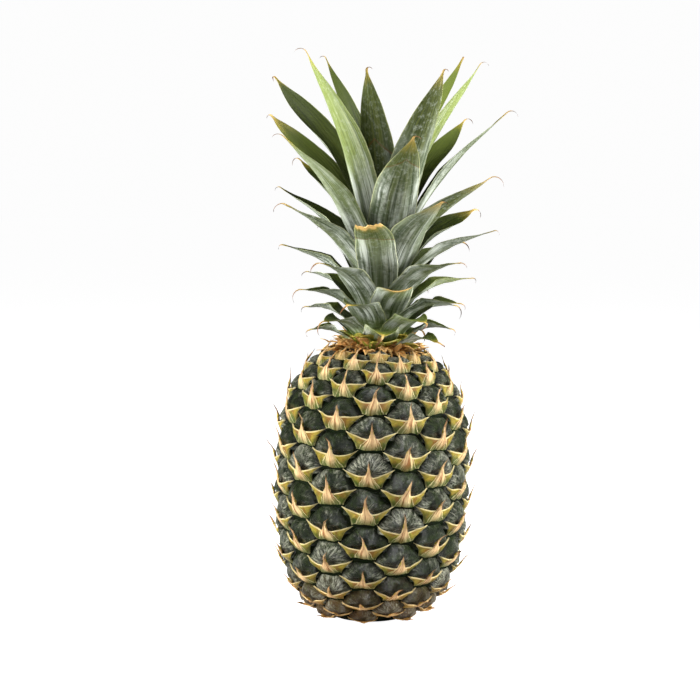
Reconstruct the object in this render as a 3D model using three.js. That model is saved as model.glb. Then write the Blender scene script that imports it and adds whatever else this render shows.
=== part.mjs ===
// A whole pineapple, standing on its base: the barrel of fused fruitlets ("eyes"), the cut stalk
// under it, and the crown, which is a short stem with sword-shaped leaves set round it in a spiral.
// Millimetres, +Z up. The origin is the centre of the cut stalk's face, on which the fruit stands.
import * as THREE from "three";

// ---- Driving dimensions -------------------------------------------------------------------------

const FRUIT_RADIUS = 57.5; // of the barrel at the grooves between the eyes
const EYE_RELIEF = 4.8; // how far an eye stands out of the grooves
const BELLY_HEIGHT = 88; // of the widest ring above the table
const FOOT_RADIUS = 24; // of the flat spot that the fruit stands on
const NECK_RADIUS = 22; // of the flat top that carries the crown
const NECK_HEIGHT = 168;
const ROUNDNESS = 2.75; // exponent of the barrel's superellipse: 2 is an ellipse, more is squarer
const LEAN_AT_NECK = 5; // the fruit's axis bends this far towards +X at its top

const EYES_PER_RING = 8;
const RING_COUNT = 20; // rings of eyes from foot to neck, each turned half an eye from the last
const RING_CROWDING = 0.65; // 0 spaces the rings evenly, 1 crowds them fully at foot and neck
const FOOT_RIM = 0.03; // share of the barrel's outline, at the foot, that carries no eyes
const FIRST_EYE_TURN = 19; // degrees from the front, towards +X, of an eye in the middle ring
const TWIST_PER_RING = 0.4; // degrees by which each ring is turned on

const STALK_RADIUS = 12;
const STALK_LENGTH = 9;
const STALK_GAP = 0.35; // all round the cut stalk in its hollow

const STEM_RADIUS = 16; // of the crown's stem at its foot
const STEM_TIP_RADIUS = 2.5;
const STEM_LENGTH = 80;
const STEM_GAP = 0.4; // between the fruit's top and the stem

const LEAF_COUNT = 54;
const LEAF_TURN = 137.508; // degrees clockwise, from above, from one leaf to the next up the stem
const FIRST_LEAF_TURN = 54; // degrees anticlockwise from the front, where the lowest leaf stands
const LEAF_HEIGHTS = [2.5, 74]; // up the stem, of the lowest leaf's foot and the innermost leaf's
const LEAF_LENGTHS = [28, 134]; // in a straight line from foot to tip, the shortest and the longest
const LEAF_WIDTHS = [21, 26];
const LEAF_STARTS = [44, 5]; // degrees from the crown's axis at the foot, lowest leaf and innermost
const LEAF_LEANS = [76, 12]; // degrees from the axis of the straight line from foot to tip
const LEAF_CURLS = [30, 6]; // degrees by which the tip points further over than that line
const LEAF_GAP = 1.4; // between the stem and a leaf's foot, which is made of flat facets
const LEAF_THICKNESS = 1.5;
const FOOT_THICKNESS = 0.5; // of a leaf where it clasps the stem
const TIP_THICKNESS = 0.5;
const WIDEST_CLASP = 52; // degrees round the stem from a leaf's middle to its edge
const CHANNEL = 0.62; // radius of a blade's own hollow, as a share of its width
const SHOULDER = 0.3; // share of its length at which a leaf is widest
const SECTIONS = 10; // along each leaf

const COLOURS = { fruit: 0x6f7434, stalk: 0xb59a6a, stem: 0xc9c89a, leaf: 0x6d8468 };

// ---- Small helpers ------------------------------------------------------------------------------

const rad = THREE.MathUtils.degToRad;
const { lerp, smoothstep, clamp } = THREE.MathUtils;

// A closed body from rings of points, each ring anticlockwise as seen from the last ring's side.
// The two halves of a ring split their quads in opposite ways, so the two faces of a blade match.
// An end is a point, or null for a flat end whose ring is a sliver: it is then closed straight across.
function loft(rings, firstPoint, lastPoint) {
  const sides = rings[0].length;
  const points = rings.flat();
  const faces = [];
  for (let k = 0; k + 1 < rings.length; k++) {
    for (let i = 0; i < sides; i++) {
      const [a, b] = [k * sides + i, k * sides + ((i + 1) % sides)];
      if (i < sides / 2) faces.push(a, b, b + sides, a, b + sides, a + sides);
      else faces.push(a, b, a + sides, b, b + sides, a + sides);
    }
  }
  const close = (ring, point, flip) => {
    const face = (a, b, c) => faces.push(...(flip ? [b, a, c] : [a, b, c]));
    const corner = (i) => ring * sides + (i % sides);
    if (point) points.push(point);
    for (let i = 0; i < sides; i++) {
      if (point) face(corner(i), corner(i + 1), points.length - 1);
      else if (i < sides / 2 - 1) face(corner(i + 1), corner(sides - 1 - i), corner(sides - i));
      else if (i > sides / 2) face(corner(i), corner(sides - i), corner(sides - i + 1));
    }
  };
  close(0, firstPoint, true);
  close(rings.length - 1, lastPoint, false);
  const geometry = new THREE.BufferGeometry();
  geometry.setFromPoints(points);
  geometry.setIndex(faces);
  geometry.computeVertexNormals();
  return geometry;
}

function mesh(name, geometry, colour, roughness) {
  const material = new THREE.MeshStandardMaterial({ color: colour, roughness, metalness: 0 });
  const made = new THREE.Mesh(geometry, material);
  made.name = name;
  return made;
}

// ---- The fruit ----------------------------------------------------------------------------------

// The barrel's outline is two quarter superellipses that meet at the belly. Each is stretched so
// that it passes through the foot or the neck at that end's radius.
function halfHeight(reach, endRadius) {
  return reach / (1 - (endRadius / FRUIT_RADIUS) ** ROUNDNESS) ** (1 / ROUNDNESS);
}

function radiusAt(height) {
  const upper = height > BELLY_HEIGHT;
  const half = upper
    ? halfHeight(NECK_HEIGHT - BELLY_HEIGHT, NECK_RADIUS)
    : halfHeight(BELLY_HEIGHT, FOOT_RADIUS);
  const share = Math.abs(height - BELLY_HEIGHT) / half;
  return FRUIT_RADIUS * (1 - share ** ROUNDNESS) ** (1 / ROUNDNESS);
}

// The outline as a curve measured along its length, from the foot's edge to the neck's edge.
function outlineCurve() {
  const points = [];
  const steps = 64;
  for (let i = 0; i <= steps; i++) {
    const height = (NECK_HEIGHT * (1 - Math.cos((Math.PI * i) / steps))) / 2;
    points.push(new THREE.Vector2(radiusAt(height), height));
  }
  return new THREE.SplineCurve(points);
}

const outline = outlineCurve();

// How far along the outline a ring lies, as a share of the way from the foot to the neck.
function ringShare(ring) {
  const crowding = (RING_CROWDING * Math.PI) / 2;
  const fromMiddle = (2 * ring) / RING_COUNT - 1;
  return lerp(FOOT_RIM, 1, (1 + Math.sin(crowding * fromMiddle) / Math.sin(crowding)) / 2);
}

// How far an eye stands out, across and up being measured from its middle to its six corners:
// the widest across is 2, the full height is from -1 to 1, and the bract's edge lies on the middle.
function eyeRelief(across, up) {
  const rise = up > 0 ? 1 - 0.9 * up * up : 1 - up * up;
  const width = 2 - Math.abs(up);
  const spread = 1 - (across / (width + 0.4)) ** 2;
  return EYE_RELIEF * clamp(rise * spread, 0, 1);
}

// The fruit's axis is a shallow arc, and each level section is tilted with it.
function bend(x, y, z) {
  const pull = LEAN_AT_NECK / NECK_HEIGHT ** 2;
  return new THREE.Vector3(x + pull * z * z, y, z - x * 2 * pull * z);
}

function fruitPoint(column, ring) {
  const share = ringShare(ring);
  const at = outline.getPointAt(share);
  const along = outline.getTangentAt(share);
  const nearest = Math.round(ring);
  let relief = 0;
  for (const eyeRing of [nearest - 1, nearest, nearest + 1]) {
    if (eyeRing < 1 || eyeRing > RING_COUNT - 1) continue;
    const start = eyeRing % 2 ? 3 : 0;
    const across = THREE.MathUtils.euclideanModulo(column - start + 3, 6) - 3;
    const up = ring - eyeRing;
    if (Math.abs(up) < 1 && Math.abs(across) < 2 - Math.abs(up)) relief = eyeRelief(across, up);
  }
  const taper = smoothstep(ring, 0, 2) * smoothstep(RING_COUNT - ring, 0, 1.5);
  const out = at.clone().add(new THREE.Vector2(along.y, -along.x).multiplyScalar(relief * taper));
  const turn = FIRST_EYE_TURN + TWIST_PER_RING * (ring - RING_COUNT / 2);
  const angle = rad((column * 360) / (6 * EYES_PER_RING) + turn - 90);
  return bend(out.x * Math.cos(angle), out.x * Math.sin(angle), out.y);
}

// The barrel, with a round hollow for the cut stalk in its flat foot.
function fruitGeometry() {
  const rings = [];
  const columns = 6 * EYES_PER_RING;
  const hollow = STALK_RADIUS + STALK_GAP;
  const circle = (radius, height) =>
    Array.from({ length: columns }, (_, i) => {
      const angle = (2 * Math.PI * i) / columns - Math.PI / 2;
      return new THREE.Vector3(radius * Math.cos(angle), radius * Math.sin(angle), height);
    });
  rings.push(circle(hollow, STALK_LENGTH + STALK_GAP), circle(hollow, 0), circle(FOOT_RADIUS, 0));
  for (let half = 0; half <= 2 * RING_COUNT; half++) {
    rings.push(Array.from({ length: columns }, (_, i) => fruitPoint(i, half / 2)));
  }
  const ceiling = new THREE.Vector3(0, 0, STALK_LENGTH + STALK_GAP);
  return loft(rings, ceiling, bend(0, 0, NECK_HEIGHT));
}

// The stalk that the fruit grew on, cut flush with the foot.
function stalkGeometry() {
  const chamfer = 0.8;
  const profile = [
    [0, 0],
    [STALK_RADIUS, 0],
    [STALK_RADIUS, STALK_LENGTH - chamfer],
    [STALK_RADIUS - chamfer, STALK_LENGTH],
    [0, STALK_LENGTH],
  ];
  const points = profile.map(([r, z]) => new THREE.Vector2(r, z));
  return new THREE.LatheGeometry(points, 32).rotateX(Math.PI / 2);
}

// ---- The crown ----------------------------------------------------------------------------------

function stemRadius(height) {
  return lerp(STEM_RADIUS, STEM_TIP_RADIUS, height / STEM_LENGTH);
}

function stemGeometry() {
  const profile = [
    [0, STEM_GAP],
    [stemRadius(STEM_GAP), STEM_GAP],
    [STEM_TIP_RADIUS, STEM_LENGTH],
    [0, STEM_LENGTH + STEM_TIP_RADIUS],
  ];
  const points = profile.map(([r, z]) => new THREE.Vector2(r, z));
  return new THREE.LatheGeometry(points, 24).rotateX(Math.PI / 2);
}

// An even scatter from -0.5 to 0.5, for the small differences between leaves.
function scatter(index, kind) {
  return ((index * 0.7549 + kind * 0.5698) % 1) - 0.5;
}

// Leaves that differ from the rule, by their place in the spiral from 0: turned aside or twisted by
// some degrees, longer, shorter or more upright than their neighbours, or with only a share kept of
// a broken blade.
const ODD_LEAVES = {
  10: { length: 44 },
  11: { aside: -5 },
  16: { length: 46, kept: 0.8 },
  24: { aside: -3, length: 90, kept: 0.8 },
  31: { length: 70, twist: 30 },
  32: { aside: -28, length: 110, lean: 39 },
  34: { length: 88, lean: 42 },
  35: { aside: -44, length: 90 },
  36: { aside: 22, length: 92 },
  37: { aside: 4, width: 29, length: 105, lean: 40 },
  38: { aside: 14, length: 119, lean: 39, twist: -30 },
  39: { length: 118, lean: 32 },
  40: { aside: 0, length: 140, lean: 28 },
  41: { length: 88, lean: 36 },
  42: { aside: -16, length: 125, lean: 24 },
  43: { aside: -29, length: 140, lean: 38, twist: -38 },
  44: { length: 100, lean: 29, twist: 30 },
  45: { aside: -4, length: 116, lean: 22 },
  46: { aside: 23, length: 131, lean: 24 },
  47: { length: 124, lean: 22 },
  48: { length: 80, lean: 17 },
  49: { aside: -38, length: 124, lean: 19 },
  50: { length: 50, lean: 12 },
  51: { length: 48, lean: 10 },
  52: { length: 46, lean: 8 },
  53: { length: 46, lean: 4 },
};

// The rule that gives each leaf its shape, from the lowest (index 0) to the innermost. The longest
// leaves are those four fifths of the way in, and the few inside them are young and short.
function leafRule(index) {
  const age = index / (LEAF_COUNT - 1);
  const growth = Math.min(1, age / 0.8) ** 1.7 * (1 - 0.6 * smoothstep(age, 0.86, 0.98));
  const between = ([lowest, innermost], share) => lerp(lowest, innermost, share);
  const leaf = {
    turn: FIRST_LEAF_TURN - index * LEAF_TURN,
    aside: 0,
    height: between(LEAF_HEIGHTS, age ** 1.15),
    length: between(LEAF_LENGTHS, growth) * (1 + 0.1 * scatter(index, 1)),
    width: between(LEAF_WIDTHS, Math.sin(Math.PI * age) ** 0.8) + 2 * scatter(index, 2),
    start: between(LEAF_STARTS, age ** 0.6),
    lean: between(LEAF_LEANS, age ** 1.35) + 3 * scatter(index, 3) * (1 - age),
    sway: 0.08 * scatter(index, 4),
    twist: 24 * scatter(index, 5),
    kept: 1,
    ...ODD_LEAVES[index],
  };
  leaf.finish = leaf.lean + between(LEAF_CURLS, age);
  return leaf;
}

// The leaf's midrib in the plane of its own direction: x away from the axis, z up the axis.
function midrib(leaf) {
  const away = (angle, length) =>
    new THREE.Vector3(Math.sin(rad(angle)) * length, 0, Math.cos(rad(angle)) * length);
  const clear = stemRadius(leaf.height) + LEAF_GAP + FOOT_THICKNESS;
  const foot = new THREE.Vector3(clear, 0, leaf.height);
  const tip = foot.clone().add(away(leaf.lean, leaf.length));
  tip.y = leaf.sway * leaf.length;
  const third = 0.35 * leaf.length;
  const rise = foot.clone().add(away(leaf.start, third));
  const droop = tip.clone().sub(away(leaf.finish, third));
  return new THREE.CubicBezierCurve3(foot, rise, droop, tip);
}

// Half the blade's width at a share of the way from foot to tip, before its foot is trimmed.
function halfWidth(leaf, share) {
  const past = (share - SHOULDER) / (1 - SHOULDER);
  const taper = past < 0 ? lerp(0.86, 1, smoothstep(share, 0, SHOULDER)) : 1 - past ** 2.8;
  return (leaf.width / 2) * taper;
}

// One cross-section of a leaf, a bent lens: its outer face follows a circle round the crown's axis
// at the foot and the blade's own channel further out, and its inner face is crowned by thickness.
function leafSection(leaf, rib, share) {
  const at = rib.getPoint(share);
  const along = rib.getTangent(share);
  const twist = rad(leaf.twist) * smoothstep(share, 0.4, 1);
  const side = new THREE.Vector3(0, 1, 0).applyAxisAngle(along, twist);
  const inward = new THREE.Vector3().crossVectors(along, side).normalize();
  const clasp = at.x / Math.max(along.z, 0.3);
  const channel = Math.min(clasp, CHANNEL * leaf.width);
  const radius = lerp(clasp, channel, smoothstep(share, 0.1, 0.55));
  const half = Math.min(halfWidth(leaf, share), radius * Math.sin(rad(WIDEST_CLASP)));
  const blade = lerp(LEAF_THICKNESS, TIP_THICKNESS, share);
  const thickness = lerp(FOOT_THICKNESS, blade, smoothstep(share, 0, 0.35));
  const point = (across, lift) => {
    const angle = across * Math.asin(half / radius);
    const rise = radius * (1 - Math.cos(angle)) + lift * (1 - across * across);
    const sideways = at.clone().addScaledVector(side, radius * Math.sin(angle));
    return sideways.addScaledVector(inward, rise);
  };
  const outer = [-0.5, 0, 0.5].map((across) => point(across, 0));
  const inner = [0.5, 0, -0.5].map((across) => point(across, thickness));
  return [point(-1, 0), ...outer, point(1, 0), ...inner];
}

// One leaf: a channelled blade that clasps the stem at its foot and tapers to a point, or ends
// bluntly where it is broken off.
function leafGeometry(leaf) {
  const rib = midrib(leaf);
  const broken = leaf.kept < 1;
  const last = broken ? SECTIONS : SECTIONS - 1;
  const rings = [];
  for (let k = 0; k <= last; k++) rings.push(leafSection(leaf, rib, (leaf.kept * k) / SECTIONS));
  return loft(rings, null, broken ? null : rib.getPoint(1));
}

function crown() {
  const group = new THREE.Group();
  group.position.copy(bend(0, 0, NECK_HEIGHT));
  group.rotation.y = Math.atan((2 * LEAN_AT_NECK) / NECK_HEIGHT);
  group.add(mesh("crown_stem", stemGeometry(), COLOURS.stem, 0.7));
  for (let index = 0; index < LEAF_COUNT; index++) {
    const leaf = leafRule(index);
    const name = "leaf_" + String(index + 1).padStart(2, "0");
    const made = mesh(name, leafGeometry(leaf), COLOURS.leaf, 0.55);
    made.rotation.z = rad(leaf.turn + leaf.aside - 90); // turn 0 faces the front, -Y, and 90 faces +X
    group.add(made);
  }
  return group;
}

// ---- The whole pineapple ------------------------------------------------------------------------

const pineapple = new THREE.Group();
pineapple.add(mesh("fruit", fruitGeometry(), COLOURS.fruit, 0.6));
pineapple.add(mesh("cut_stalk", stalkGeometry(), COLOURS.stalk, 0.85));
pineapple.add(crown());

export default pineapple;
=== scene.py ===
import math

import bmesh
import bpy
from bpy.props import FloatProperty, FloatVectorProperty, IntProperty, PointerProperty
from bpy.types import Operator, Panel, PropertyGroup
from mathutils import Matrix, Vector


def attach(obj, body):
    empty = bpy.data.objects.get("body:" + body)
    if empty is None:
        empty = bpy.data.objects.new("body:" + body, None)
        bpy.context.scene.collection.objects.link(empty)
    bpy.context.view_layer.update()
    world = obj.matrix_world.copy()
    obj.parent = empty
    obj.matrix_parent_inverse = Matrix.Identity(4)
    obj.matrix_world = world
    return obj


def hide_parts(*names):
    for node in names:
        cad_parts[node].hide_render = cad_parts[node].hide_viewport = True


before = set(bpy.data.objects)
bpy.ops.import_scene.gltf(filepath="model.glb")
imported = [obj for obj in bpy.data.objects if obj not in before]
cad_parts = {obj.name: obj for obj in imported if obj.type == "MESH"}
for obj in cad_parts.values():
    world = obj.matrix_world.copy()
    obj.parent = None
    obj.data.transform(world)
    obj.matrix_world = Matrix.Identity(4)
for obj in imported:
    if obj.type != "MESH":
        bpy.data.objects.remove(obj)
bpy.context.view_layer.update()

bl_info = {
    "name": "Pineapple",
    "version": (1, 0, 0),
    "blender": (4, 5, 0),
    "location": "3D View > Sidebar > Pineapple",
    "description": "Grows a whole pineapple: its rind of eyes, its dry collar and its crown",
    "category": "Object",
}

MM = 0.001

# Points closer than this become one, and edges shorter than this are dropped.
WELD = 2e-6
LEAST_EDGE = 1e-7

# The barrel's build, as the solid model has it.
COLUMNS_PER_EYE = 6
ODD_RING_COLUMN = 3
ROUNDNESS = 2.75
RING_CROWDING = 0.65
FOOT_RIM = 0.03
STALK_HOLLOW = 12.35 * MM
HOLLOW_DEPTH = 9.35 * MM

# The crown's build: ranges run from the lowest leaf to the innermost.
LEAF_HEIGHTS = (2.5 * MM, 74 * MM)
LEAF_LENGTHS = (28 * MM, 134 * MM)
LEAF_WIDTHS = (21 * MM, 26 * MM)
LEAF_STARTS = (44, 5)
LEAF_LEANS = (76, 12)
LEAF_CURLS = (30, 6)
FOOT_CLEARANCE = 1.9 * MM
STEM_RADII = (16 * MM, 2.5 * MM)
STEM_LENGTH = 80 * MM
FIRST_LEAF_TURN = 54
LEAF_TURN = 137.508

# Leaves that differ from the rule, by their place in the spiral from 0.
ODD_LEAVES = {
    10: {"length": 44},
    11: {"aside": -5},
    16: {"length": 46, "kept": 0.8},
    24: {"aside": -3, "length": 90, "kept": 0.8},
    31: {"length": 70, "twist": 30},
    32: {"aside": -28, "length": 110, "lean": 39},
    34: {"length": 88, "lean": 42},
    35: {"aside": -44, "length": 90},
    36: {"aside": 22, "length": 92},
    37: {"aside": 4, "width": 29, "length": 105, "lean": 40},
    38: {"aside": 14, "length": 119, "lean": 39, "twist": -30},
    39: {"length": 118, "lean": 32},
    40: {"aside": 0, "length": 140, "lean": 28},
    41: {"length": 88, "lean": 36},
    42: {"aside": -16, "length": 125, "lean": 24},
    43: {"aside": -29, "length": 140, "lean": 38, "twist": -38},
    44: {"length": 100, "lean": 29, "twist": 30},
    45: {"aside": -4, "length": 116, "lean": 22},
    46: {"aside": 23, "length": 131, "lean": 24},
    47: {"length": 124, "lean": 22},
    48: {"length": 80, "lean": 17},
    49: {"aside": -38, "length": 124, "lean": 19},
    50: {"length": 50, "lean": 12},
    51: {"length": 48, "lean": 10},
    52: {"length": 46, "lean": 8},
    53: {"length": 46, "lean": 4},
}

# Looks of single leaves: how far the dry tip reaches down, how olive or how yellow-green the upper
# part is, the length of the tip's hook in millimetres, and where an older leaf left its imprint.
LEAF_LOOKS = {
    3: {"fresh": 0.5},
    8: {"fresh": 0.5},
    16: {"dry": 0.2, "fresh": 0.2},
    18: {"fresh": 0.7, "dry": 0.16},
    24: {"dry": 0.1, "imprint": 0.62, "olive": 0.2},
    29: {"dry": 0.16},
    31: {"dry": 0.12, "olive": 0.8},
    32: {"fresh": 0.25},
    34: {"dry": 0.16, "olive": 0.9, "hook": 12},
    37: {"dry": 0.1, "imprint": 0.82, "olive": 0.55},
    38: {"fresh": 0.9, "dry": 0.12},
    39: {"hook": 9, "olive": 0.5},
    40: {"fresh": 0.6, "olive": 0.35},
    42: {"olive": 0.9, "dry": 0.08},
    44: {"olive": 0.6, "fresh": 0.6},
    45: {"imprint": 0.62, "olive": 0.8},
    46: {"olive": 0.85},
    47: {"olive": 0.4, "fresh": 0.6, "hook": 7},
    49: {"olive": 0.4, "fresh": 0.7, "hook": 7},
}


# ---- Sizes and colours -----------------------------------------------------------------------


def length(name, description, default):
    return FloatProperty(
        name=name, description=description, default=default, unit="LENGTH", precision=5
    )


def share(name, description, default):
    return FloatProperty(
        name=name, description=description, default=default, subtype="FACTOR", min=0, max=4
    )


def rotation(name, description, degrees):
    return FloatProperty(
        name=name, description=description, default=math.radians(degrees), unit="ROTATION"
    )


def power(name, description, watts):
    return FloatProperty(name=name, description=description, default=watts, unit="POWER")


def count(name, description, default, least=0):
    return IntProperty(name=name, description=description, default=default, min=least)


def colour(name, description, red, green, blue):
    return FloatVectorProperty(
        name=name,
        description=description,
        default=(red, green, blue),
        subtype="COLOR",
        size=3,
        min=0,
        max=1,
    )


class FruitSizes(PropertyGroup):
    """The barrel's sizes."""

    radius: length("Radius", "Radius of the barrel in the grooves between the eyes", 57.5 * MM)
    belly: length("Belly height", "Height of the widest ring above the table", 88 * MM)
    foot: length("Foot radius", "Radius of the flat spot under the fruit", 24 * MM)
    neck: length("Neck radius", "Radius of the flat top that carries the crown", 22 * MM)
    height: length("Neck height", "Height of the neck above the table", 168 * MM)
    lean: length("Lean at neck", "How far the fruit's axis bends aside at its top", 5 * MM)
    rings: count("Rings", "Rings of eyes from foot to neck", 20, 4)
    around: count("Eyes round", "Eyes in one ring", 8, 3)
    first_turn: rotation("First eye", "Turn of an eye in the middle ring", 19)
    ring_twist: rotation("Ring twist", "Turn from one ring to the next", 0.4)


class EyeSizes(PropertyGroup):
    """The eyes' sizes."""

    dome: length("Dome height", "How far the dome of an eye stands out of the grooves", 4.4 * MM)
    lip: length("Lip height", "How far the bract's upper edge stands out of the grooves", 5.4 * MM)
    spike: share("Spike length", "Length of the bract's spike, in rings", 1.05)
    spike_lift: length("Spike lift", "How far the tip of the spike stands off the dome", 4 * MM)
    thickness: length("Bract thickness", "Thickness of the bract's edge", 0.8 * MM)
    wobble: share("Unevenness", "How much the eyes differ from each other", 1.0)


class CrownSizes(PropertyGroup):
    """The crown's sizes."""

    leaves: IntProperty(
        name="Leaves", description="Leaves in the crown", default=54, min=1, max=54
    )
    leaf_turn: rotation("Leaf turn", "Turn from one leaf to the next", LEAF_TURN)
    thickness: length("Leaf thickness", "Thickness of a blade near its foot", 1.5 * MM)
    tip_thickness: length("Tip thickness", "Thickness of a blade at its tip", 0.5 * MM)
    hook: length("Hook", "Length of the dry hook at a leaf's tip", 8 * MM)
    ripple: length("Ripple", "Unevenness of the blades", 0.9 * MM)


class CollarSizes(PropertyGroup):
    """The dry collar's sizes."""

    scales: count("Scales", "Papery scales in the collar", 84)
    fibres: count("Fibres", "Loose fibres in the collar", 90)
    leaflets: count("Leaflets", "Short green leaves on the collar", 22)
    radius: length("Collar radius", "Radius of the collar at its foot", 20 * MM)
    scale_length: length("Scale length", "Length of the longest scales", 13.5 * MM)


class PineappleColours(PropertyGroup):
    """The colours that the materials mix."""

    dome_dark: colour("Dome, dark", "Deep green of a dome", 0.0025, 0.006, 0.001)
    dome_light: colour("Dome, light", "Lighter green of a dome", 0.022, 0.037, 0.006)
    # Real grey wax, also laid on the domes' wrinkle crests as a painted highlight.
    dome_wax_and_sheen: colour("Dome wax", "Grey wax on a dome", 0.6, 0.6, 0.46)
    bloom: colour("Bloom", "Grey-white waxy bloom", 0.55, 0.59, 0.52)
    # Painted shade: the skin's own dark green is taken down to near-black for the shade that falls
    # in the grooves.
    groove_shade: colour("Groove", "Dark skin between the eyes", 0.0035, 0.005, 0.0015)
    wing: colour("Bract wing", "Yellow-olive wings of a bract", 0.37, 0.27, 0.028)
    tan: colour("Bract middle", "Pink-tan middle of a bract", 0.56, 0.29, 0.13)
    rib: colour("Bract rib", "Pale ribs and edges of a bract", 0.84, 0.72, 0.38)
    bract_green: colour("Bract green", "Green foot of a bract", 0.042, 0.066, 0.005)
    bract_brown: colour("Bract brown", "Brown stain on a bract", 0.19, 0.065, 0.012)
    leaf_grey: colour("Leaf, grey", "Grey-green outer side of a leaf", 0.165, 0.195, 0.118)
    leaf_shade: colour("Leaf, shade", "Darker grey-green streaks of a leaf", 0.038, 0.056, 0.024)
    leaf_dark: colour("Leaf, dark", "Dark green inner side of a leaf", 0.024, 0.037, 0.004)
    leaf_olive: colour("Leaf, olive", "Olive bands of a leaf", 0.085, 0.102, 0.014)
    leaf_fresh: colour("Leaf, fresh", "Fresh green foot of a leaf", 0.16, 0.24, 0.024)
    leaf_lime: colour("Leaf, lime", "Yellow-green upper part of a young leaf", 0.28, 0.32, 0.085)
    leaf_edge: colour("Leaf edge", "Light rim of a leaf", 0.55, 0.56, 0.26)
    dry: colour("Dry straw", "Straw-coloured dry tissue", 0.56, 0.36, 0.12)
    dry_brown: colour("Dry brown", "Brown dry tissue", 0.12, 0.048, 0.014)
    dry_orange: colour("Dry orange", "Orange-brown papery scales", 0.68, 0.29, 0.06)
    stalk: colour("Cut stalk", "Cut face of the stalk", 0.48, 0.35, 0.17)
    stem: colour("Crown stem", "Pale stem inside the crown", 0.42, 0.46, 0.22)


class StageSettings(PropertyGroup):
    """The floor, the lights and the camera."""

    floor: colour("Floor", "Pale floor", 0.5, 0.5, 0.5)
    key: power("Key light", "Soft light from the right", 38)
    side: power("Side light", "Soft light from the left", 33)
    fill: power("Fill light", "Weak light from the front", 6.5)
    top: power("Top light", "Weak light from above", 3)
    focal: FloatProperty(
        name="Focal length", description="Focal length of the camera", default=85, unit="CAMERA"
    )
    distance: length("Camera distance", "Distance of the camera from its target", 1.04)
    elevation: rotation("Camera elevation", "Height of the view", 5)


# ---- Node helpers ----------------------------------------------------------------------------


def put(tree, socket, value):
    """Joins a term to a socket, or writes a plain value in it. A colour gets its fourth number."""
    if isinstance(value, Term):
        tree.links.new(value.socket, socket)
    elif socket.type == "RGBA" and len(value) == 3:
        socket.default_value = (*value, 1)
    else:
        socket.default_value = value


class Term:
    """A value in a node tree. Sums of terms add Math nodes, so that a formula reads as one."""

    def __init__(self, tree, socket):
        self.tree = tree
        self.socket = socket

    def math(self, operation, *others, clamp=False):
        node = self.tree.nodes.new("ShaderNodeMath")
        node.operation = operation
        node.use_clamp = clamp
        for socket, value in zip(node.inputs, (self, *others)):
            put(self.tree, socket, value)
        return Term(self.tree, node.outputs[0])

    def __add__(self, other):
        return self.math("ADD", other)

    __radd__ = __add__

    def __sub__(self, other):
        return self.math("SUBTRACT", other)

    def __rsub__(self, other):
        return self.math("MULTIPLY", -1) + other

    def __mul__(self, other):
        return self.math("MULTIPLY", other)

    __rmul__ = __mul__

    def __truediv__(self, other):
        return self.math("DIVIDE", other)

    def __pow__(self, other):
        return self.math("POWER", other)

    def __abs__(self):
        return self.math("ABSOLUTE")

    def clamped(self):
        return self.math("ADD", 0, clamp=True)


MIX_SOCKETS = {"FLOAT": (2, 0), "VECTOR": (4, 1), "RGBA": (6, 2)}


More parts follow.
